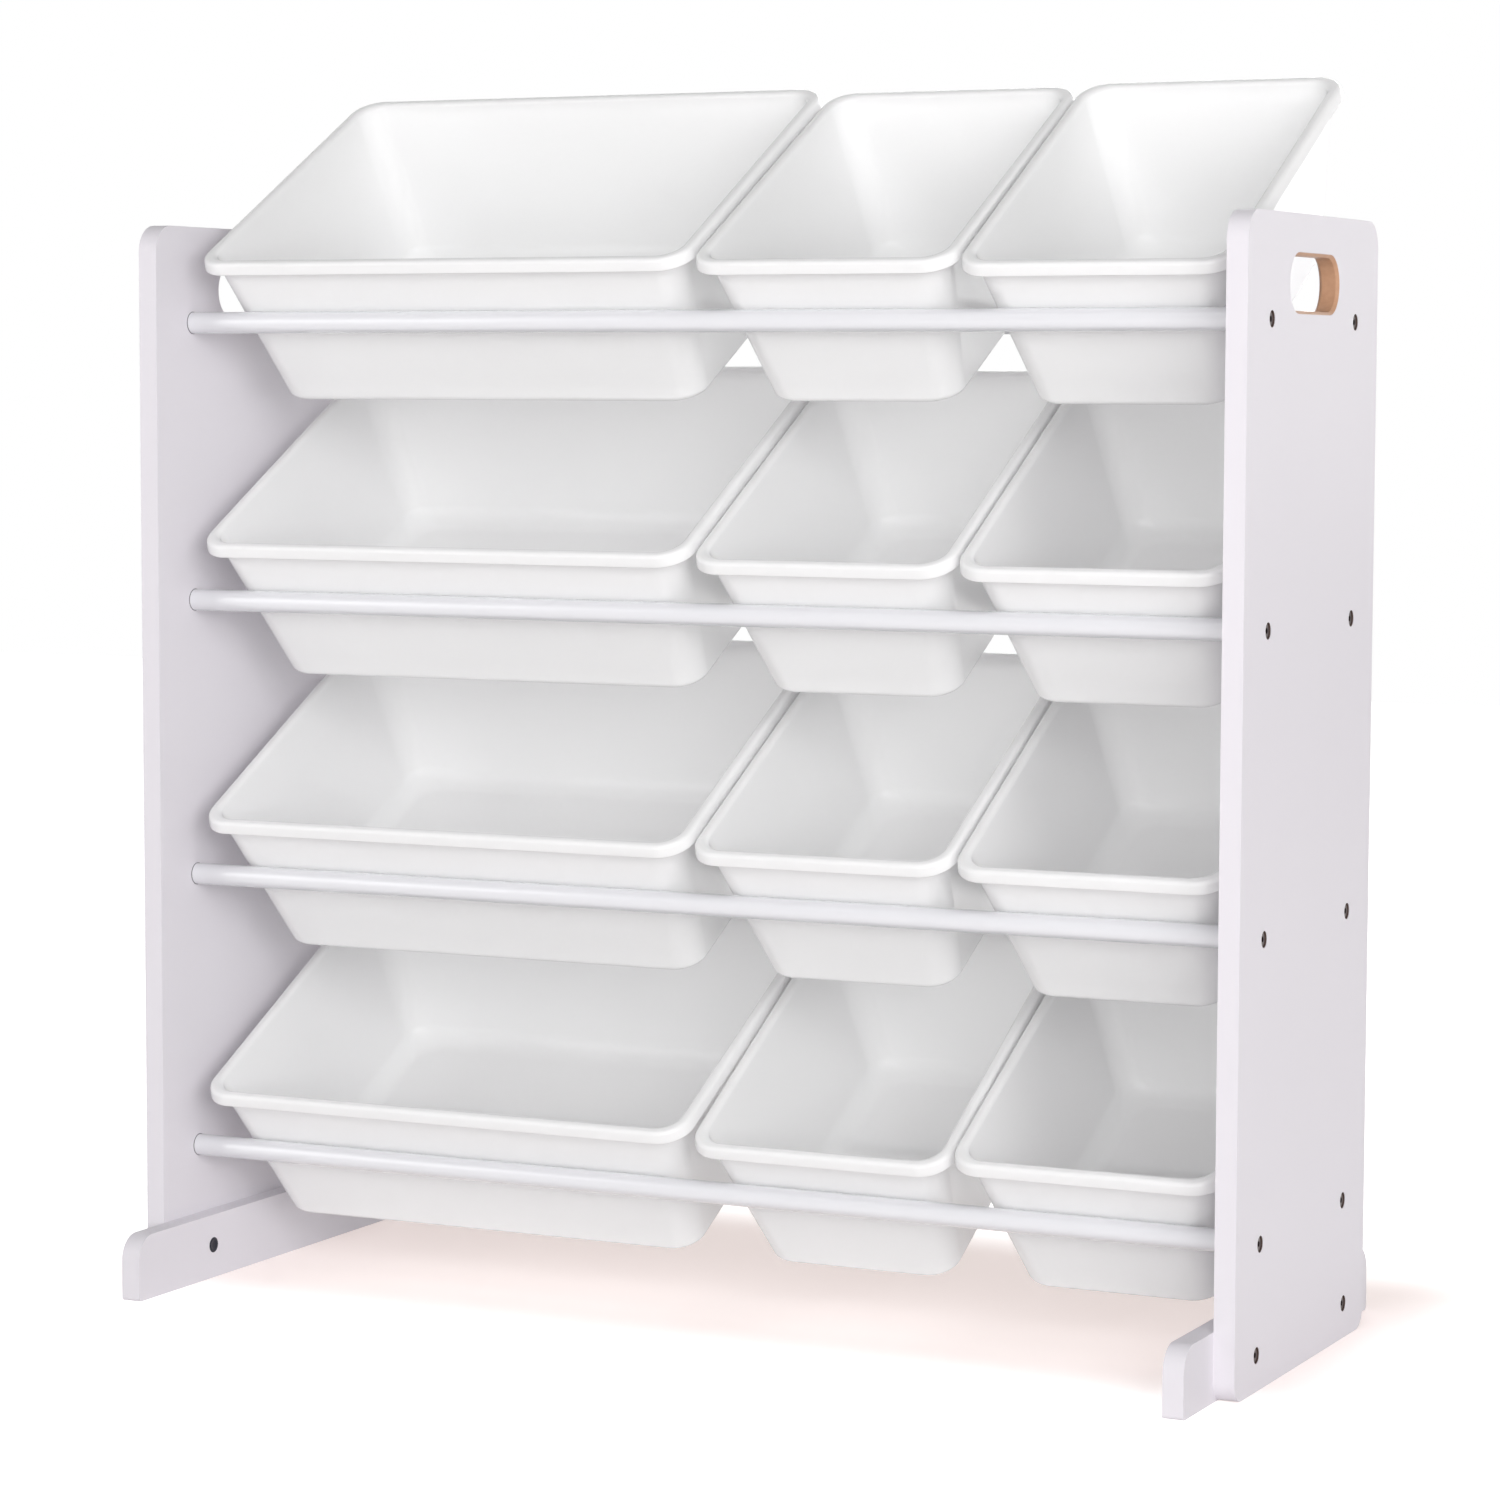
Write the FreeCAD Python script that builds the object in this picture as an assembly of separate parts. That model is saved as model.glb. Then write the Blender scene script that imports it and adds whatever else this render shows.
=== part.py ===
import FreeCAD, Part
import math
import os

# Toy storage organizer: two side panels on feet, four rows of rods, and twelve bins that
# lean in the rows. Millimetres. X runs across the front, +Y to the rear and +Z up.
# The origin is on the floor, midway between the panels and between the feet's ends.

# Side panels
FRAME_WIDTH = 860.0
PANEL_HEIGHT = 790.0
PANEL_DEPTH = 273.0
PANEL_THICKNESS = 15.0
PANEL_TOP_RADIUS = 20.0
PANEL_BOTTOM_RADIUS = 14.0

# Hand hole near the top of each panel
HAND_HOLE_WIDTH = 100.5
HAND_HOLE_HEIGHT = 37.0
HAND_HOLE_RADIUS = 18.0
HAND_HOLE_TOP_GAP = 28.0
HAND_HOLE_BEVEL = 2.5

# Feet, one on the inner face of each panel
FOOT_THICKNESS = 15.0
FOOT_HEIGHT = 48.0
FOOT_OVERHANG = 56.0
FOOT_TOP_RADIUS = 18.0
FOOT_BOTTOM_RADIUS = 3.0

# Rods, which stand square between the panels, in rows of even pitch
ROWS = 4
TOP_ROD_BELOW_PANEL_TOP = 71.1
LOWEST_ROD_HEIGHT = 100.0
ROD_TO_PANEL_EDGE = 48.75
ROD_DIAMETER = 16.0

# Recesses for the bolt heads that hold the rods and the feet
RECESS_DIAMETER = 11.6
RECESS_DEPTH = 4.2
FOOT_BOLT_SPACING = 185.0
FOOT_BOLT_HEIGHT = 25.0

# Bins, measured square to the rim. Length runs from the front rim to the rear rim.
# The large bin's width is what the small bins and the clearances leave between the panels.
SMALL_BIN_WIDTH = 200.5
BIN_LENGTH = 278.5
LARGE_BIN_DEPTH = 127.0
SMALL_BIN_DEPTH = 123.0
BIN_WALL = 2.2
BIN_GAP = 1.0
BIN_TO_LEFT_PANEL = 17.5
BIN_TO_RIGHT_PANEL = 5.0
BIN_TO_ROD = 0.3
RIM_OVERHANG = 7.0
RIM_SKIRT = 9.0
RIM_FLARE = 1.6
RIM_CORNER_RADIUS = 23.0
RIM_HOLLOW_BEVEL = 14.0
FRONT_DRAFT = 16.5
REAR_DRAFT = 22.0
SIDE_DRAFT = 20.5
BIN_CORNER_RADIUS = 20.0

# How far each bin leans forwards, in degrees, from the top row down. No two sit quite alike.
BIN_TILTS = {
    "large_bin": (28.9, 29.3, 28.9, 28.2),
    "middle_bin": (28.7, 29.5, 28.9, 29.8),
    "right_bin": (29.7, 29.7, 29.4, 28.1),
}

# Places that follow from the sizes above
OUTER_X = FRAME_WIDTH / 2
INNER_X = OUTER_X - PANEL_THICKNESS
RECESS_X = OUTER_X - RECESS_DEPTH
FOOT_INNER_X = INNER_X - FOOT_THICKNESS
ROD_RADIUS = ROD_DIAMETER / 2
ROD_SPACING = PANEL_DEPTH - 2 * ROD_TO_PANEL_EDGE
ROW_PITCH = (PANEL_HEIGHT - TOP_ROD_BELOW_PANEL_TOP - LOWEST_ROD_HEIGHT) / (ROWS - 1)
ROW_HEIGHTS = [LOWEST_ROD_HEIGHT + ROW_PITCH * row for row in reversed(range(ROWS))]
ROD_PLACES = [(y, z) for z in ROW_HEIGHTS for y in (-ROD_SPACING / 2, ROD_SPACING / 2)]
RIGHT_BIN_X = INNER_X - BIN_TO_RIGHT_PANEL - SMALL_BIN_WIDTH
MIDDLE_BIN_X = RIGHT_BIN_X - BIN_GAP - SMALL_BIN_WIDTH
LARGE_BIN_X = BIN_TO_LEFT_PANEL - INNER_X
LARGE_BIN_WIDTH = MIDDLE_BIN_X - BIN_GAP - LARGE_BIN_X
FOOT_BOLT_PLACES = [(y, FOOT_BOLT_HEIGHT) for y in (-FOOT_BOLT_SPACING / 2, FOOT_BOLT_SPACING / 2)]


def point(x, y, z):
    return FreeCAD.Vector(x, y, z)


def rod_along_x(radius, x_from, x_to, y, z):
    """A round bar between two X places, in either order."""
    start = min(x_from, x_to)
    return Part.makeCylinder(radius, abs(x_to - x_from), point(start, y, z), point(1, 0, 0))


def rounded_rectangle(x, y, width, length, radius, z):
    """A closed wire in the XY plane; x and y are its lowest corner."""
    x_end = x + width
    y_end = y + length
    slant = radius * (1 - math.sqrt(0.5))
    corners = [
        ((x_end - radius, y), (x_end - slant, y + slant), (x_end, y + radius)),
        ((x_end, y_end - radius), (x_end - slant, y_end - slant), (x_end - radius, y_end)),
        ((x + radius, y_end), (x + slant, y_end - slant), (x, y_end - radius)),
        ((x, y + radius), (x + slant, y + slant), (x + radius, y)),
    ]
    edges = []
    before = point(*corners[-1][2], z)
    for start, middle, end in corners:
        edges.append(Part.LineSegment(before, point(*start, z)).toShape())
        edges.append(Part.Arc(point(*start, z), point(*middle, z), point(*end, z)).toShape())
        before = point(*end, z)
    return Part.Wire(edges)


def board(y_from, y_to, height, bottom_radius, top_radius, x_from, x_to):
    """An upright board with rounded corners, standing on the floor."""
    solid = Part.makeBox(x_to - x_from, y_to - y_from, height, point(x_from, y_from, 0))
    across = [edge for edge in solid.Edges if edge.BoundBox.XLength > 1]
    low = [edge for edge in across if edge.CenterOfMass.z < height / 2]
    solid = solid.makeFillet(bottom_radius, low)
    high = [
        edge for edge in solid.Edges
        if edge.BoundBox.XLength > 1 and edge.CenterOfMass.z > height - 0.01
    ]
    return solid.makeFillet(top_radius, high)


def hand_hole(x_from, x_to):
    """The hand hole's opening, wider where its edges are rounded over."""
    low_z = PANEL_HEIGHT - HAND_HOLE_TOP_GAP - HAND_HOLE_HEIGHT
    wire = rounded_rectangle(
        -HAND_HOLE_WIDTH / 2, low_z, HAND_HOLE_WIDTH, HAND_HOLE_HEIGHT, HAND_HOLE_RADIUS, 0
    )
    # The wire lies in XY; turned so that its X runs along Y and its Y up.
    wire.transformShape(FreeCAD.Matrix(0, 0, 1, x_from, 1, 0, 0, 0, 0, 1, 0, 0, 0, 0, 0, 1))
    return Part.Face(wire).extrude(point(x_to - x_from, 0, 0))


def side_panel(side):
    """side is -1 for the left panel and 1 for the right one."""
    faces = sorted((side * INNER_X, side * OUTER_X))
    half_depth = PANEL_DEPTH / 2
    panel = board(
        -half_depth, half_depth, PANEL_HEIGHT, PANEL_BOTTOM_RADIUS, PANEL_TOP_RADIUS, *faces
    )
    panel = panel.cut(hand_hole(*faces))
    low_z = PANEL_HEIGHT - HAND_HOLE_TOP_GAP - HAND_HOLE_HEIGHT
    hole_edges = [
        edge for edge in panel.Edges
        if edge.BoundBox.XLength < 0.01
        and abs(edge.CenterOfMass.y) <= HAND_HOLE_WIDTH / 2 + 0.01
        and low_z - 0.01 <= edge.CenterOfMass.z <= low_z + HAND_HOLE_HEIGHT + 0.01
    ]
    panel = panel.makeChamfer(HAND_HOLE_BEVEL, hole_edges)
    cuts = []
    for y, z in ROD_PLACES + FOOT_BOLT_PLACES:
        cuts.append(rod_along_x(RECESS_DIAMETER / 2, side * RECESS_X, side * (OUTER_X + 1), y, z))
    return panel.cut(cuts)


def foot(side):
    faces = sorted((side * FOOT_INNER_X, side * INNER_X))
    half_length = PANEL_DEPTH / 2 + FOOT_OVERHANG
    return board(-half_length, half_length, FOOT_HEIGHT, FOOT_BOTTOM_RADIUS, FOOT_TOP_RADIUS, *faces)


def rod(y, z):
    """A round rod whose ends butt against the panels."""
    return rod_along_x(ROD_RADIUS, -INNER_X, INNER_X, y, z)


def bin_outline(width, depth, z, inset):
    """The four corners of the bin's outer walls at height z, moved inwards by inset."""
    share = -z / depth
    side = RIM_OVERHANG + SIDE_DRAFT * share + inset
    front = RIM_OVERHANG + FRONT_DRAFT * share + inset
    rear = BIN_LENGTH - RIM_OVERHANG - REAR_DRAFT * share - inset
    places = ((side, front), (width - side, front), (width - side, rear), (side, rear))
    return [point(x, y, z) for x, y in places]


def rim_outline(width, z, inset):
    """The four corners of the rim's outer face, which flares from its top down to its skirt."""
    edge = inset + RIM_FLARE * (1 + z / RIM_SKIRT)
    places = ((edge, edge), (width - edge, edge))
    places += ((width - edge, BIN_LENGTH - edge), (edge, BIN_LENGTH - edge))
    return [point(x, y, z) for x, y in places]


def tapered_block(top, bottom):
    """Flat slanting walls between two outlines of four corners, and its upright edges."""
    faces = [Part.Face(Part.makePolygon(outline + outline[:1])) for outline in (top, bottom)]
    for corner in range(4):
        after = (corner + 1) % 4
        wall = [top[corner], top[after], bottom[after], bottom[corner], top[corner]]
        faces.append(Part.Face(Part.makePolygon(wall)))
    solid = Part.makeSolid(Part.makeShell(faces))
    return solid, [edge for edge in solid.Edges if edge.BoundBox.ZLength > 1]


def rounded_block(top, bottom, radius):
    solid, upright = tapered_block(top, bottom)
    return solid.makeFillet(radius, upright)


def upright_bin(width, depth):
    """A bin standing square, with the corner of its rim's outer faces at the origin."""
    rim = rounded_block(
        rim_outline(width, 0, 0), rim_outline(width, -RIM_SKIRT, 0), RIM_CORNER_RADIUS
    )
    below = -RIM_SKIRT - 1
    hollow, upright = tapered_block(
        rim_outline(width, -BIN_WALL, BIN_WALL), rim_outline(width, below, BIN_WALL)
    )
    rim = rim.cut(hollow.makeChamfer(RIM_HOLLOW_BEVEL, upright))
    top = bin_outline(width, depth, 0, 0)
    floor = bin_outline(width, depth, -depth, 0)
    body = rounded_block(top, floor, BIN_CORNER_RADIUS)
    cavity_top = bin_outline(width, depth, 1, BIN_WALL)
    cavity_floor = bin_outline(width, depth, BIN_WALL - depth, BIN_WALL)
    cavity = rounded_block(cavity_top, cavity_floor, BIN_CORNER_RADIUS - BIN_WALL)
    return rim.fuse(body).cut(cavity).removeSplitter()


def bin_origin(row_height, depth, tilt):
    """Where a tilted bin's front top corner lies, with the tilt in radians.

    The bin's floor lies on the rear rod and its front wall leans on the front rod, each with
    the bin-to-rod clearance. Lengths are taken along the rim and square to it.
    """
    reach = ROD_RADIUS + BIN_TO_ROD
    rear_rod_down = depth + reach
    front_rod_down = rear_rod_down - ROD_SPACING * math.sin(tilt)
    wall_slope = FRONT_DRAFT / depth
    wall_at_rod = RIM_OVERHANG + wall_slope * front_rod_down
    front_rod_along = wall_at_rod - reach * math.hypot(1, wall_slope)
    y = -ROD_SPACING / 2 - front_rod_along * math.cos(tilt) - front_rod_down * math.sin(tilt)
    z = row_height - front_rod_along * math.sin(tilt) + front_rod_down * math.cos(tilt)
    return y, z


def placed_bin(upright, x, row_height, depth, degrees):
    y, z = bin_origin(row_height, depth, math.radians(degrees))
    solid = upright.copy()
    solid.Placement = FreeCAD.Placement(point(x, y, z), FreeCAD.Rotation(point(1, 0, 0), degrees))
    return solid


def export(name, solid):
    assert solid.isValid() and len(solid.Solids) == 1, name
    solid.exportStep("parts/%s.step" % name)


def export_frame():
    for side, name in ((-1, "left"), (1, "right")):
        export(name + "_side_panel", side_panel(side))
        export(name + "_foot", foot(side))
    for row, height in enumerate(ROW_HEIGHTS, 1):
        export("front_rod_%d" % row, rod(-ROD_SPACING / 2, height))
        export("rear_rod_%d" % row, rod(ROD_SPACING / 2, height))


def export_bins():
    large = upright_bin(LARGE_BIN_WIDTH, LARGE_BIN_DEPTH)
    small = upright_bin(SMALL_BIN_WIDTH, SMALL_BIN_DEPTH)
    columns = (
        ("large_bin", large, LARGE_BIN_DEPTH, LARGE_BIN_X),
        ("middle_bin", small, SMALL_BIN_DEPTH, MIDDLE_BIN_X),
        ("right_bin", small, SMALL_BIN_DEPTH, RIGHT_BIN_X),
    )
    for name, upright, depth, x in columns:
        for row, (height, degrees) in enumerate(zip(ROW_HEIGHTS, BIN_TILTS[name]), 1):
            export("%s_%d" % (name, row), placed_bin(upright, x, height, depth, degrees))


os.makedirs("parts", exist_ok=True)
export_frame()
export_bins()
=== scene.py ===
import math

import bmesh
import bpy
from mathutils import Matrix, Vector


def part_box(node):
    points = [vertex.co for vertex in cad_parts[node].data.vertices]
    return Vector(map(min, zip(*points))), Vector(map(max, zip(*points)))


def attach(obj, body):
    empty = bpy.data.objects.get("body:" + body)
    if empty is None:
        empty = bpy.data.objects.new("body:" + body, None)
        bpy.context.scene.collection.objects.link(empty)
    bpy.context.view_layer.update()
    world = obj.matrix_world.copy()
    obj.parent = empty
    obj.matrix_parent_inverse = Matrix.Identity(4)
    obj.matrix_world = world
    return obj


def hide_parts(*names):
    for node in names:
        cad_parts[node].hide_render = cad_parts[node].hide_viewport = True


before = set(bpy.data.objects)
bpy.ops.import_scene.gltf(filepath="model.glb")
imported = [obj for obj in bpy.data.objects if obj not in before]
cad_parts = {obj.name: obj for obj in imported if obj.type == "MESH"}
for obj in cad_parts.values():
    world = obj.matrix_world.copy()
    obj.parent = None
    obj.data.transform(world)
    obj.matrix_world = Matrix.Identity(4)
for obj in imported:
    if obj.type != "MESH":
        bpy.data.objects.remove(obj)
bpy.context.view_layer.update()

# Metres, in the frame's own axes: X across the front, +Y to the rear, +Z up.

# Camera, solved from the rack's edges in the photograph. Angles are in degrees, and the lens and
# sensor in millimetres.
CAMERA_PLACE = (1.3751, -2.8146, 0.6768)
CAMERA_YAW = 25.959
CAMERA_PITCH = 4.877
CAMERA_ROLL = 0.17
CAMERA_LENS = 103.72
CAMERA_SENSOR_WIDTH = 36

# Bins, with lengths taken along the rim and depths square to it
ROWS = 4
BIN_LENGTH = 0.2785
BIN_DEPTHS = {"large": 0.127, "small": 0.123}
BIN_WALL = 0.0022
RIM_OVERHANG = 0.007
RIM_SKIRT = 0.009
RIM_FLARE = 0.0016
RIM_ROUND = 0.0026
RIM_LIP_ROUND = 0.0030
RIM_LOWER_EDGE = 0.0005
RIM_CORNER_RADIUS = 0.023
FRONT_DRAFT = 0.0165
REAR_DRAFT = 0.022
SIDE_DRAFT = 0.0205
BIN_CORNER_RADIUS = 0.020
FLOOR_ROUND = 0.005
CAVITY_FLOOR_ROUND = 0.014
CORNER_STEPS = 14
ROUND_STEPS = 6
LEAN_LEAST = math.radians(20)
LEAN_MOST = math.radians(40)
LEAN_HALVINGS = 50
EVEN_NORMALS_WEIGHT = 60

# Colours, linear
BIN_PALE = (0.955, 0.955, 0.96)
BIN_DEEP = (0.94, 0.94, 0.945)
BOARD_PALE = (0.775, 0.748, 0.79)
BOARD_DEEP = (0.76, 0.733, 0.775)
ROD_PALE = (0.755, 0.755, 0.785)
ROD_DEEP = (0.735, 0.735, 0.765)
BARE_PALE = (0.60, 0.36, 0.23)
BARE_DEEP = (0.47, 0.26, 0.155)
# Bare board darkened with painted shade, for the bolts' recesses
RECESS_SHADE_PALE = (0.13, 0.09, 0.08)
RECESS_SHADE_DEEP = (0.08, 0.05, 0.045)
# Painted shade: the dark ring at each rod's end, for the shadow where the rod meets the panel
GAP_SHADE_PALE = (0.16, 0.15, 0.16)
GAP_SHADE_DEEP = (0.11, 0.10, 0.11)
# Bolt heads: steel, darkened and browned with painted shade for the shade of their recesses
BOLT_STEEL_SHADED = (0.13, 0.105, 0.10)
INSERT_ZINC = (0.05, 0.05, 0.065)
FLOOR_COLOUR = (0.86, 0.83, 0.83)

# Gloss of the surfaces
PLASTIC_ROUGHNESS = 0.27
PLASTIC_SPECULAR = 0.3
ROD_ROUGHNESS = 0.26
ROD_COAT_ROUGHNESS = 0.10
BOARD_ROUGHNESS = 0.42
BOARD_SPECULAR = 0.2
GAP_ROUGHNESS = 0.6
STEEL_ROUGHNESS = 0.34
ZINC_ROUGHNESS = 0.5
FLOOR_ROUGHNESS = 0.9
GLOSS_SPREAD = 0.012

# How far light spreads inside the bins' plastic
LIGHT_SPREAD = 0.004

# Grain of the painted and moulded surfaces: noise scale and height
PLASTIC_GRAIN = (60, 0.00003)
ROD_GRAIN = (500, 0.00002)
BOARD_GRAIN = (350, 0.00008)
GAP_GRAIN = (500, 0.00005)
GRAIN_DETAIL = 2
GRAIN_STRENGTH = 0.35

# Other noise patterns: scale and detail
CLOUDS = (6, 3)
GLOSS_PATCHES = (40, 4)
WOOD_FIBRES = (260, 5)
METAL_WEAR = (700, 3)
WEAR_DARKENS = 0.8
WEAR_SMOOTHS = 0.06
WEAR_ROUGHENS = 0.08

# Sockets of the Mix node in its colour mode
MIX_FACTOR, MIX_FIRST, MIX_SECOND, MIX_RESULT = 0, 6, 7, 2

# Where the boards are bare: the paint wraps round their faces' edges and covers their outer edges.
# Inside this reach of the hand hole the bare board is pale, and in the bolts' recesses it is darkened
# with painted shade.
PAINT_WRAP = 0.0004
BARE_MARGIN = 0.010
HAND_HOLE_REACH = 0.060
HAND_HOLE_LOW = 0.715
HAND_HOLE_HIGH = 0.775

# Fasteners, which are too small for the solids
RECESS_DEPTH = 0.0042
BOLT_HEAD_RADIUS = 0.0052
BOLT_HEAD_HEIGHT = 0.003
BOLT_HEAD_EDGE = 0.0006
BOLT_HEX_SIDES = 6
BOLT_HEX_RADIUS = 0.0023
BOLT_HEX_DEPTH = 0.002
INSERT_RADIUS = 0.0058
INSERT_BORE_RADIUS = 0.0031
INSERT_DEPTH = 0.001
INSERT_STANDS_PROUD = 0.0004
INSERT_EDGE = 0.0005
INSERT_EDGE_STARTS = 0.00016
INSERT_BORE_EASE = 0.0003
FOOT_BOLT_SPACING = 0.185
FOOT_BOLT_HEIGHT = 0.025
LATHE_STEPS = 24
SHARP_ANGLE = math.radians(35)

# Rods, and the dark ring of painted shade at each rod's end, standing in for the shadow where the rod
# meets the panel; the ring narrows away from the panel
ROD_RADIUS = 0.008
GAP_HEIGHT = 0.0004
GAP_WIDTH = 0.0006
GAP_HALFWAY_SHARE = 0.8
GAP_INTO_ROD = 0.0003
GAP_INTO_PANEL = 0.0001

# Light: the world's level on the object, and the floor's own glow, which is faint and warm under the
# rack, as painted shade in its footprint, and grows to white outside it
WORLD_LEVEL = 0.15
FLOOR_REACH = 6
GLOW_PAINTED_SHADE_UNDER_RACK = (0.315, 0.245, 0.22)
GLOW_OUTSIDE = (1.0, 1.0, 1.0)
UNDER_RACK_CENTRE = (0, 0.09, 0)
UNDER_RACK_HALF_SIZE = (0.41, 0.15, 0)
GLOW_FADE = 0.17

# Area lights: name, place, target, size and watts
LIGHTS = (
    ("front", (1.375, -4.2, 1.2), (0, 0, 0.45), (3.2, 2.6), 73),
    ("right_front", (3.2, -2.7, 1.3), (0, 0, 0.45), (2.4, 2.4), 73),
    ("left_front", (-3.0, -2.9, 1.3), (0, 0, 0.45), (2.4, 2.4), 38),
    ("right", (4.2, -0.6, 1.4), (0, 0, 0.4), (2.4, 2.4), 16),
    ("top", (0.4, -2.3, 3.7), (0, 0, 0.45), (3.0, 0.5), 9),
    ("back", (0.0, 3.4, 1.6), (0, 0, 0.4), (3.2, 2.4), 66),
)

left_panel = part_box("left_side_panel")
right_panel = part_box("right_side_panel")
rods = [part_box("%s_rod_%d" % (end, row)) for row in range(1, ROWS + 1) for end in ("front", "rear")]
OUTER_X = right_panel[1][0]
INNER_X = right_panel[0][0]
FOOT_INNER_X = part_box("right_foot")[0][0]
ROD_PLACES = [((low[1] + high[1]) / 2, (low[2] + high[2]) / 2) for low, high in rods]
FOOT_BOLT_PLACES = [(side * FOOT_BOLT_SPACING / 2, FOOT_BOLT_HEIGHT) for side in (-1, 1)]
SIDES = ((-1, "left"), (1, "right"))


# Materials

def new_material(name):
    material = bpy.data.materials.new(name)
    material.use_nodes = True
    nodes = material.node_tree.nodes
    nodes.clear()
    output = nodes.new("ShaderNodeOutputMaterial")
    shader = nodes.new("ShaderNodeBsdfPrincipled")
    material.node_tree.links.new(shader.outputs["BSDF"], output.inputs["Surface"])
    return material, nodes, material.node_tree.links, shader


def object_coordinates(nodes):
    return nodes.new("ShaderNodeTexCoord").outputs["Object"]


def noise(nodes, links, coordinates, scale, detail):
    texture = nodes.new("ShaderNodeTexNoise")
    texture.inputs["Scale"].default_value = scale
    texture.inputs["Detail"].default_value = detail
    links.new(coordinates, texture.inputs["Vector"])
    return texture.outputs["Fac"]


def ramp(nodes, links, value, low, high):
    """Maps a 0 to 1 value onto the range between two numbers."""
    mapping = nodes.new("ShaderNodeMapRange")
    mapping.inputs["To Min"].default_value = low
    mapping.inputs["To Max"].default_value = high
    links.new(value, mapping.inputs["Value"])
    return mapping.outputs["Result"]


def mix_colours(nodes, links, factor, first, second):
    mix = nodes.new("ShaderNodeMix")
    mix.data_type = "RGBA"
    for socket, colour in ((MIX_FIRST, first), (MIX_SECOND, second)):
        if isinstance(colour, tuple):
            mix.inputs[socket].default_value = (*colour, 1)
        else:
            links.new(colour, mix.inputs[socket])
    links.new(factor, mix.inputs[MIX_FACTOR])
    return mix.outputs[MIX_RESULT]


def bump(nodes, links, height, distance, strength):
    node = nodes.new("ShaderNodeBump")
    node.inputs["Distance"].default_value = distance
    node.inputs["Strength"].default_value = strength
    links.new(height, node.inputs["Height"])
    return node.outputs["Normal"]


def calculate(nodes, links, operation, first, second):
    """A Math node on a socket and a number or a second socket."""
    node = nodes.new("ShaderNodeMath")
    node.operation = operation
    links.new(first, node.inputs[0])
    if isinstance(second, (int, float)):
        node.inputs[1].default_value = second
    else:
        links.new(second, node.inputs[1])
    return node.outputs["Value"]


def vector_math(nodes, links, operation, first, second=None):
    """A Vector Math node on a socket and a constant vector. LENGTH gives a number."""
    node = nodes.new("ShaderNodeVectorMath")
    node.operation = operation
    links.new(first, node.inputs[0])
    if second is not None:
        node.inputs[1].default_value = second
    return node.outputs["Value" if operation == "LENGTH" else "Vector"]


def between(nodes, links, value, low, high):
    """1 where value lies between low and high, else 0."""
    above = calculate(nodes, links, "GREATER_THAN", value, low)
    below = calculate(nodes, links, "LESS_THAN", value, high)
    return calculate(nodes, links, "MULTIPLY", above, below)


def satin_surface(name, pale, deep, roughness, gloss_spread, grain):
    """A painted or moulded surface: faint clouding, even or uneven gloss and a fine grain."""
    material, nodes, links, shader = new_material(name)
    where = object_coordinates(nodes)
    cloud = noise(nodes, links, where, *CLOUDS)
    links.new(mix_colours(nodes, links, cloud, deep, pale), shader.inputs["Base Color"])
    shader.inputs["Roughness"].default_value = roughness
    if gloss_spread:
        patches = noise(nodes, links, where, *GLOSS_PATCHES)
        uneven = ramp(nodes, links, patches, roughness - gloss_spread, roughness + gloss_spread)
        links.new(uneven, shader.inputs["Roughness"])
    grain_scale, grain_height = grain
    height = noise(nodes, links, where, grain_scale, GRAIN_DETAIL)
    links.new(bump(nodes, links, height, grain_height, GRAIN_STRENGTH), shader.inputs["Normal"])
    return material, nodes, links, shader


def moulded_plastic():
    """Thin white plastic, which lets light spread through the walls. Its gloss is even, because
    uneven gloss shows as flakes in the spread light."""
    material, _, _, shader = satin_surface(
        "bin_plastic", BIN_PALE, BIN_DEEP, PLASTIC_ROUGHNESS, 0, PLASTIC_GRAIN
    )
    shader.inputs["Specular IOR Level"].default_value = PLASTIC_SPECULAR
    shader.inputs["Subsurface Weight"].default_value = 1.0
    shader.inputs["Subsurface Radius"].default_value = (1, 1, 1)
    shader.inputs["Subsurface Scale"].default_value = LIGHT_SPREAD
    return material


def gloss_paint():
    """The rods' white enamel, with a clear gloss that shows the lamp above as a line."""
    material, _, _, shader = satin_surface(
        "rod_paint", ROD_PALE, ROD_DEEP, ROD_ROUGHNESS, GLOSS_SPREAD, ROD_GRAIN
    )
    shader.inputs["Coat Weight"].default_value = 1.0
    shader.inputs["Coat Roughness"].default_value = ROD_COAT_ROUGHNESS
    return material


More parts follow.
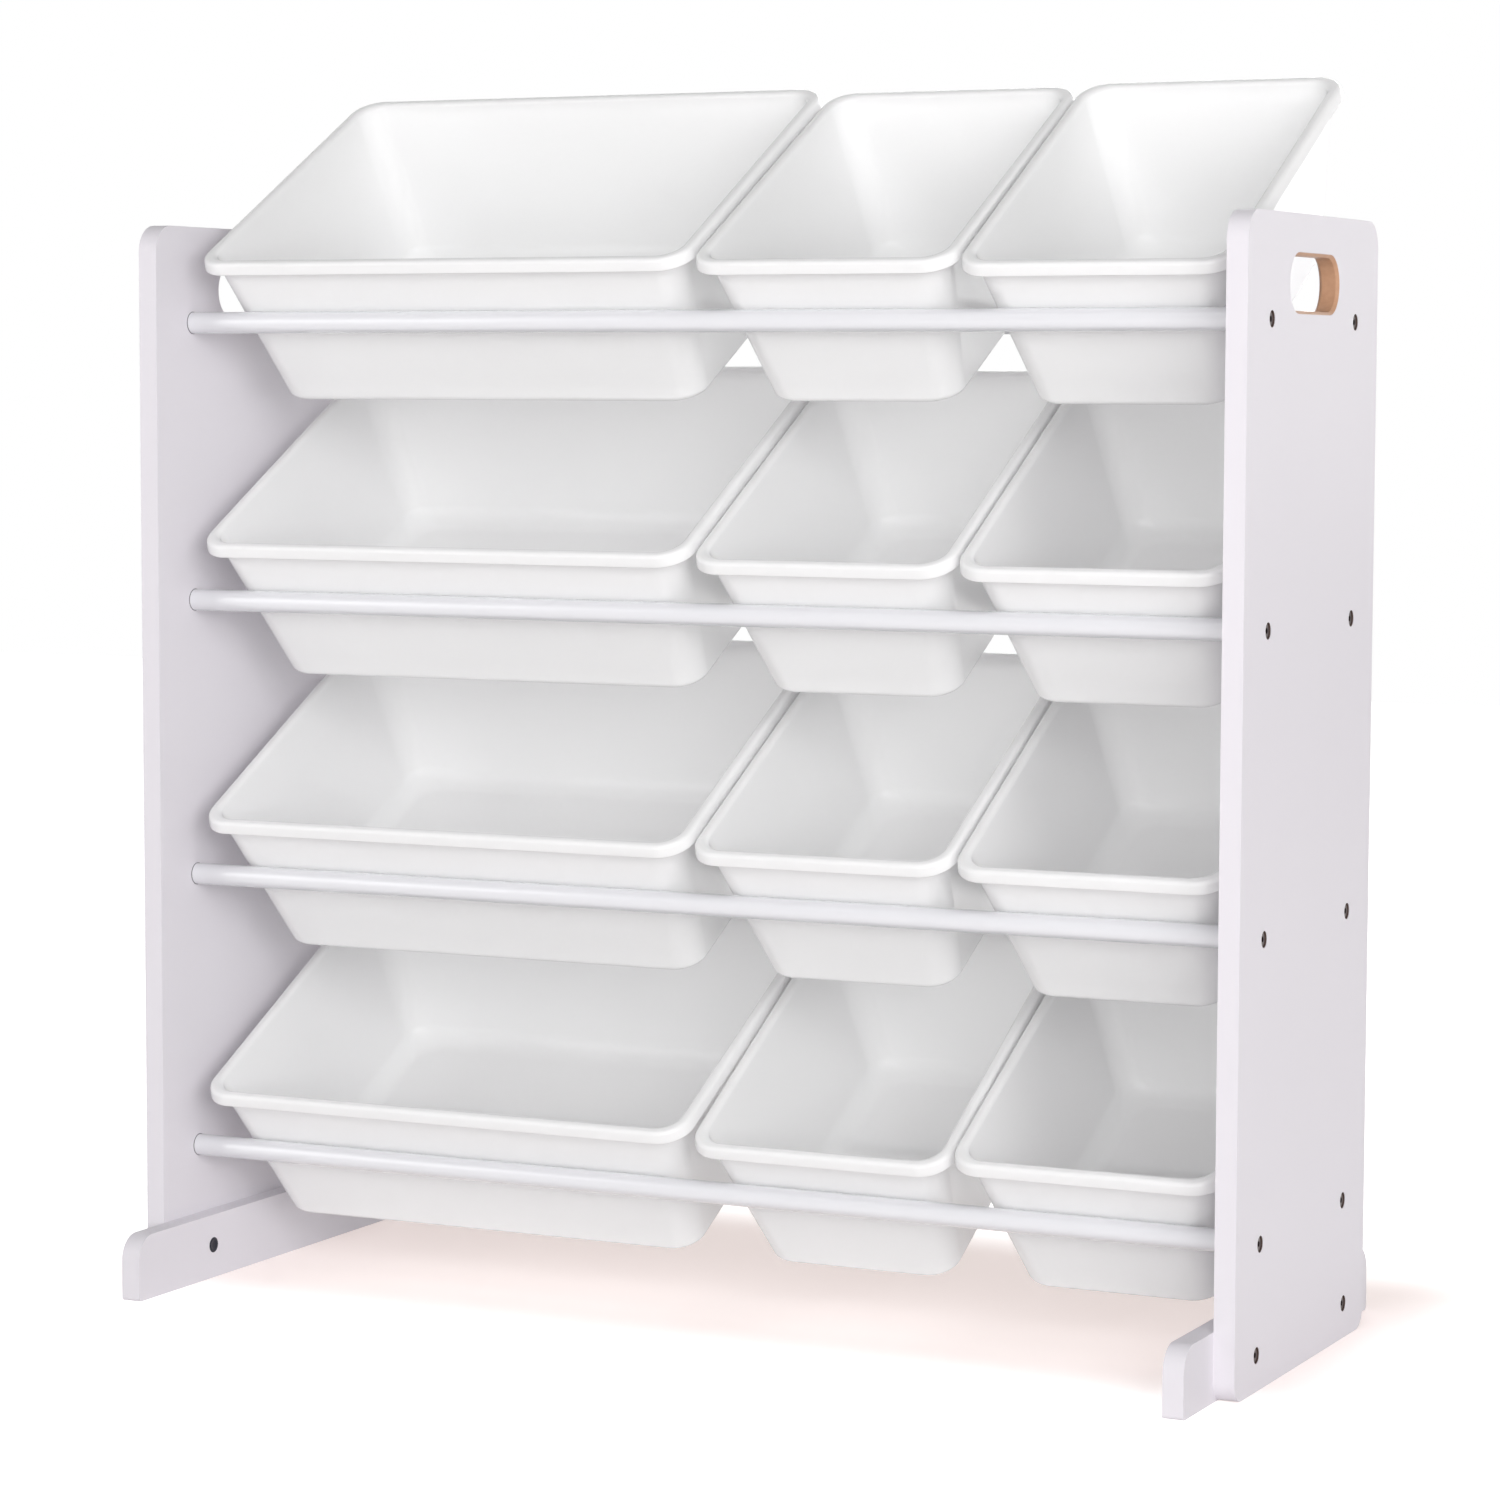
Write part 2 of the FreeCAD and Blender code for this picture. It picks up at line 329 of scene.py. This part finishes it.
def board_paint():
    """Smooth white paint, with the bare board showing inside the hand hole, and in the recesses the bare
    board darkened with painted shade.
    """
    material, nodes, links, shader = satin_surface(
        "board_paint", BOARD_PALE, BOARD_DEEP, BOARD_ROUGHNESS, GLOSS_SPREAD, BOARD_GRAIN
    )
    paint = shader.inputs["Base Color"].links[0].from_socket
    where = object_coordinates(nodes)
    split = nodes.new("ShaderNodeSeparateXYZ")
    links.new(where, split.inputs["Vector"])
    across = calculate(nodes, links, "ABSOLUTE", split.outputs["X"], 0)
    y, z = split.outputs["Y"], split.outputs["Z"]
    front, rear = left_panel[0][1], left_panel[1][1]
    bare = between(nodes, links, across, INNER_X + PAINT_WRAP, OUTER_X - PAINT_WRAP)
    for part in (
        between(nodes, links, y, front + BARE_MARGIN, rear - BARE_MARGIN),
        between(nodes, links, z, BARE_MARGIN, left_panel[1][2] - BARE_MARGIN),
    ):
        bare = calculate(nodes, links, "MULTIPLY", bare, part)
    hand_hole = calculate(
        nodes, links, "MULTIPLY",
        between(nodes, links, y, -HAND_HOLE_REACH, HAND_HOLE_REACH),
        between(nodes, links, z, HAND_HOLE_LOW, HAND_HOLE_HIGH),
    )
    fibres = noise(nodes, links, where, *WOOD_FIBRES)
    wood = mix_colours(nodes, links, fibres, BARE_DEEP, BARE_PALE)
    # The recesses' bare board, darkened with painted shade
    shade = mix_colours(nodes, links, fibres, RECESS_SHADE_DEEP, RECESS_SHADE_PALE)
    inside = mix_colours(nodes, links, hand_hole, shade, wood)
    links.new(mix_colours(nodes, links, bare, paint, inside), shader.inputs["Base Color"])
    shader.inputs["Specular IOR Level"].default_value = BOARD_SPECULAR
    return material


def metal(name, colour, roughness):
    material, nodes, links, shader = new_material(name)
    wear = noise(nodes, links, object_coordinates(nodes), *METAL_WEAR)
    dull = tuple(WEAR_DARKENS * channel for channel in colour)
    links.new(mix_colours(nodes, links, wear, dull, colour), shader.inputs["Base Color"])
    gloss = ramp(nodes, links, wear, roughness - WEAR_SMOOTHS, roughness + WEAR_ROUGHENS)
    links.new(gloss, shader.inputs["Roughness"])
    shader.inputs["Metallic"].default_value = 1.0
    return material


def paint_rack():
    rod_material = gloss_paint()
    board_material = board_paint()
    for node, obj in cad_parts.items():
        if "bin" in node:
            continue
        for slot in obj.material_slots:
            slot.material = rod_material if "rod" in node else board_material


# Meshes

def loft(name, rings, material, place=None):
    """A closed smooth mesh through rings of equal count, capped at both ends."""
    points = [point for ring_points in rings for point in ring_points]
    count = len(rings[0])
    faces = []
    for level in range(len(rings) - 1):
        for start in range(count):
            after = (start + 1) % count
            base = level * count
            faces.append((base + start, base + after, base + count + after, base + count + start))
    faces.append(tuple(reversed(range(count))))
    faces.append(tuple(range(len(points) - count, len(points))))
    mesh = bpy.data.meshes.new(name)
    mesh.from_pydata(points, [], faces)
    if place is not None:
        mesh.transform(place)
    working = bmesh.new()
    working.from_mesh(mesh)
    bmesh.ops.recalc_face_normals(working, faces=working.faces)
    working.to_mesh(mesh)
    working.free()
    mesh.shade_smooth()
    mesh.materials.append(material)
    obj = bpy.data.objects.new(name, mesh)
    bpy.context.scene.collection.objects.link(obj)
    return obj


def lathe_x(name, side, x, y, z, profile, material, hollow_sides=0):
    """Turns a profile of (distance, radius) pairs about a line along X through (x, y, z).

    side is -1 or 1 and is the way the profile's distances run. With hollow_sides, the last two
    rings are polygons of that many sides, for a key.
    """
    rings = []
    for index, (out, radius) in enumerate(profile):
        ring_points = []
        for step in range(LATHE_STEPS):
            angle = 2 * math.pi * step / LATHE_STEPS
            reach = radius
            if hollow_sides and index >= len(profile) - 2:
                half = math.pi / hollow_sides
                reach = radius * math.cos(half) / math.cos((angle % (2 * half)) - half)
            ring_points.append((x + side * out, y + reach * math.cos(angle), z + reach * math.sin(angle)))
        rings.append(ring_points)
    obj = loft(name, rings, material)
    obj.data.set_sharp_from_angle(angle=SHARP_ANGLE)
    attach(obj, "rack")


# Bins

def ring(width, front, rear, side, radius, z):
    """A rounded rectangle of points, anticlockwise from above, with one count for every ring."""
    low = Vector((side, front))
    high = Vector((width - side, BIN_LENGTH - rear))
    centres = (
        ((high.x - radius, low.y + radius), -90),
        ((high.x - radius, high.y - radius), 0),
        ((low.x + radius, high.y - radius), 90),
        ((low.x + radius, low.y + radius), 180),
    )
    points = []
    for (x, y), start in centres:
        for step in range(CORNER_STEPS + 1):
            angle = math.radians(start + 90 * step / CORNER_STEPS)
            points.append((x + radius * math.cos(angle), y + radius * math.sin(angle), z))
    return points


def wall_ring(width, depth, inset, z, radius):
    """A ring on the drafted walls, moved inwards by inset."""
    share = -z / depth
    front = RIM_OVERHANG + FRONT_DRAFT * share + inset
    rear = RIM_OVERHANG + REAR_DRAFT * share + inset
    side = RIM_OVERHANG + SIDE_DRAFT * share + inset
    return ring(width, front, rear, side, radius, z)


def rim_ring(width, inset, z):
    """A ring on the rim's flared outer face, moved inwards by inset."""
    inset += RIM_FLARE * (1 + z / RIM_SKIRT)
    return ring(width, inset, inset, inset, RIM_CORNER_RADIUS - inset, z)


def quarter_turn():
    """The sines and cosines of the steps of a rounding."""
    angles = [math.radians(90 * step / ROUND_STEPS) for step in range(ROUND_STEPS + 1)]
    return [(math.sin(angle), math.cos(angle)) for angle in angles]


def floor_rounding(width, depth, inset, floor_z, radius):
    """Rings that turn from the wall into the floor, from the wall down."""
    rings = []
    for sine, cosine in quarter_turn():
        inward = inset + radius * (1 - cosine)
        z = floor_z + radius * (1 - sine)
        rings.append(wall_ring(width, depth, inward, z, BIN_CORNER_RADIUS - inset))
    return rings


def bin_rings(width, depth):
    """Every ring of a bin, from the outside of its floor, over the rim, to the inside of its floor."""
    edge = RIM_LOWER_EDGE
    rings = floor_rounding(width, depth, 0, -depth, FLOOR_ROUND)[::-1]
    rings += [
        wall_ring(width, depth, 0, -BIN_WALL, BIN_CORNER_RADIUS),
        rim_ring(width, BIN_WALL, -BIN_WALL),
        rim_ring(width, BIN_WALL, -RIM_SKIRT + edge),
        rim_ring(width, BIN_WALL - edge, -RIM_SKIRT),
        rim_ring(width, edge, -RIM_SKIRT),
        rim_ring(width, 0, -RIM_SKIRT + edge),
    ]
    for sine, cosine in quarter_turn():
        rings.append(rim_ring(width, RIM_ROUND * (1 - cosine), RIM_ROUND * (sine - 1)))
    for sine, cosine in quarter_turn():
        inset = BIN_WALL - RIM_LIP_ROUND * (1 - sine)
        z = -RIM_LIP_ROUND * (1 - cosine)
        rings.append(wall_ring(width, depth, inset, z, BIN_CORNER_RADIUS - BIN_WALL))
    return rings + floor_rounding(width, depth, BIN_WALL, BIN_WALL - depth, CAVITY_FLOOR_ROUND)


def lean_of(low, high, depth):
    """The angle, found by halving, at which a bin fills its solid's height."""
    wanted = high[2] - low[2]
    rise = BIN_LENGTH - RIM_FLARE
    front = RIM_OVERHANG + FRONT_DRAFT
    least, most = LEAN_LEAST, LEAN_MOST
    for _ in range(LEAN_HALVINGS):
        angle = (least + most) / 2
        top = rise * math.sin(angle)
        bottom = front * math.sin(angle) - depth * math.cos(angle)
        if top - bottom < wanted:
            least = angle
        else:
            most = angle
    return angle


def add_bins():
    plastic = moulded_plastic()
    for row in range(1, ROWS + 1):
        for kind in ("large_bin", "middle_bin", "right_bin"):
            node = "%s_%d" % (kind, row)
            low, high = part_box(node)
            depth = BIN_DEPTHS["large" if kind == "large_bin" else "small"]
            lean = lean_of(low, high, depth)
            front = RIM_FLARE * math.cos(lean)
            rise = (BIN_LENGTH - RIM_FLARE) * math.sin(lean)
            corner = Matrix.Translation((low[0], low[1] - front, high[2] - rise))
            place = corner @ Matrix.Rotation(lean, 4, "X")
            obj = loft("moulded_" + node, bin_rings(high[0] - low[0], depth), plastic, place)
            obj.modifiers.new("even_normals", "WEIGHTED_NORMAL").weight = EVEN_NORMALS_WEIGHT
            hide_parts(node)
            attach(obj, node)


# Fasteners

def add_bolts():
    # The bolt heads' steel is darkened with painted shade, for the shade in their recesses
    steel = metal("bolt_steel_shaded", BOLT_STEEL_SHADED, STEEL_ROUGHNESS)
    floor_x = OUTER_X - RECESS_DEPTH
    profile = [
        (0.0, BOLT_HEAD_RADIUS),
        (BOLT_HEAD_HEIGHT - BOLT_HEAD_EDGE, BOLT_HEAD_RADIUS),
        (BOLT_HEAD_HEIGHT, BOLT_HEAD_RADIUS - BOLT_HEAD_EDGE),
        (BOLT_HEAD_HEIGHT, BOLT_HEX_RADIUS),
        (BOLT_HEAD_HEIGHT - BOLT_HEX_DEPTH, BOLT_HEX_RADIUS),
    ]
    for side, label in SIDES:
        for number, (y, z) in enumerate(ROD_PLACES + FOOT_BOLT_PLACES, 1):
            name = "%s_bolt_%d" % (label, number)
            lathe_x(name, side, side * floor_x, y, z, profile, steel, BOLT_HEX_SIDES)


def add_foot_inserts():
    """The inserts in the feet, each closed by the end of its bolt."""
    zinc = metal("insert_zinc", INSERT_ZINC, ZINC_ROUGHNESS)
    proud = INSERT_STANDS_PROUD
    profile = [
        (-INSERT_DEPTH, INSERT_RADIUS),
        (INSERT_EDGE_STARTS, INSERT_RADIUS),
        (proud, INSERT_RADIUS - INSERT_EDGE),
        (proud, INSERT_BORE_RADIUS + INSERT_BORE_EASE),
        (proud / 2, INSERT_BORE_RADIUS),
        (proud / 4, INSERT_BORE_RADIUS - INSERT_BORE_EASE),
    ]
    for side, label in SIDES:
        for number, (y, z) in enumerate(FOOT_BOLT_PLACES, 1):
            name = "%s_foot_insert_%d" % (label, number)
            lathe_x(name, -side, side * FOOT_INNER_X, y, z, profile, zinc)


def add_rod_end_painted_shade():
    """A dark ring of painted shade round each rod, standing in for the shadow where its eased end meets
    the panel.
    """
    dark = satin_surface("gap_shade", GAP_SHADE_PALE, GAP_SHADE_DEEP, GAP_ROUGHNESS, GLOSS_SPREAD, GAP_GRAIN)[0]
    inner = ROD_RADIUS - GAP_INTO_ROD
    profile = [
        (-GAP_INTO_PANEL, inner),
        (-GAP_INTO_PANEL, ROD_RADIUS + GAP_HEIGHT),
        (GAP_WIDTH / 2, ROD_RADIUS + GAP_HEIGHT * GAP_HALFWAY_SHARE),
        (GAP_WIDTH, inner),
    ]
    for side, label in SIDES:
        for number, (y, z) in enumerate(ROD_PLACES, 1):
            name = "%s_rod_gap_%d" % (label, number)
            lathe_x(name, -side, side * INNER_X, y, z, profile, dark)


# Light, floor and camera

def add_area_light(name, place, target, size, watts):
    data = bpy.data.lights.new(name, "AREA")
    data.shape = "RECTANGLE"
    data.size, data.size_y = size
    data.energy = watts
    obj = bpy.data.objects.new(name, data)
    obj.location = place
    direction = Vector(target) - Vector(place)
    obj.rotation_euler = direction.to_track_quat("-Z", "Y").to_euler()
    bpy.context.scene.collection.objects.link(obj)


def shows_background(nodes, links):
    """1 for rays that show the background: camera, mirrored and see-through rays."""
    path = nodes.new("ShaderNodeLightPath")
    shows = path.outputs["Is Camera Ray"]
    for ray in ("Is Glossy Ray", "Is Transmission Ray"):
        shows = calculate(nodes, links, "MAXIMUM", shows, path.outputs[ray])
    return shows


def add_world():
    world = bpy.data.worlds.new("studio")
    bpy.context.scene.world = world
    world.use_nodes = True
    nodes = world.node_tree.nodes
    links = world.node_tree.links
    nodes.clear()
    output = nodes.new("ShaderNodeOutputWorld")
    background = nodes.new("ShaderNodeBackground")
    background.inputs["Color"].default_value = (1, 1, 1, 1)
    strength = ramp(nodes, links, shows_background(nodes, links), WORLD_LEVEL, 1.0)
    links.new(strength, background.inputs["Strength"])
    links.new(background.outputs["Background"], output.inputs["Surface"])


def add_floor():
    """A white floor. Its glow is seen, also in reflections, but lights nothing. Under the rack the glow
    is dim and warm, as painted shade.
    """
    reach = FLOOR_REACH
    mesh = bpy.data.meshes.new("floor")
    corners = [(-reach, -reach, 0), (reach, -reach, 0), (reach, reach, 0), (-reach, reach, 0)]
    mesh.from_pydata(corners, [], [(0, 1, 2, 3)])
    floor = bpy.data.objects.new("floor", mesh)
    bpy.context.scene.collection.objects.link(floor)
    material, nodes, links, shader = new_material("floor_white")
    shader.inputs["Roughness"].default_value = FLOOR_ROUGHNESS
    shader.inputs["Base Color"].default_value = (*FLOOR_COLOUR, 1)
    place = vector_math(nodes, links, "SUBTRACT", object_coordinates(nodes), UNDER_RACK_CENTRE)
    place = vector_math(nodes, links, "ABSOLUTE", place)
    beyond = vector_math(nodes, links, "SUBTRACT", place, UNDER_RACK_HALF_SIZE)
    beyond = vector_math(nodes, links, "MAXIMUM", beyond, (0, 0, 0))
    fade = nodes.new("ShaderNodeMapRange")
    fade.interpolation_type = "SMOOTHSTEP"
    fade.inputs["From Max"].default_value = GLOW_FADE
    links.new(vector_math(nodes, links, "LENGTH", beyond), fade.inputs["Value"])
    # Dim warm glow in the rack's footprint: painted shade
    glow = mix_colours(nodes, links, fade.outputs["Result"], GLOW_PAINTED_SHADE_UNDER_RACK, GLOW_OUTSIDE)
    links.new(glow, shader.inputs["Emission Color"])
    links.new(shows_background(nodes, links), shader.inputs["Emission Strength"])
    mesh.materials.append(material)


def add_camera():
    data = bpy.data.cameras.new("camera")
    data.lens = CAMERA_LENS
    data.sensor_width = CAMERA_SENSOR_WIDTH
    data.sensor_fit = "HORIZONTAL"
    camera = bpy.data.objects.new("camera", data)
    look = (
        Matrix.Rotation(math.radians(CAMERA_YAW), 4, "Z")
        @ Matrix.Rotation(math.radians(90 - CAMERA_PITCH), 4, "X")
        @ Matrix.Rotation(math.radians(CAMERA_ROLL), 4, "Z")
    )
    camera.matrix_world = Matrix.Translation(CAMERA_PLACE) @ look
    bpy.context.scene.collection.objects.link(camera)
    bpy.context.scene.camera = camera


paint_rack()
add_bins()
add_bolts()
add_foot_inserts()
add_rod_end_painted_shade()

add_world()
for light in LIGHTS:
    add_area_light(*light)
add_floor()
add_camera()
bpy.context.scene.view_settings.view_transform = "Standard"
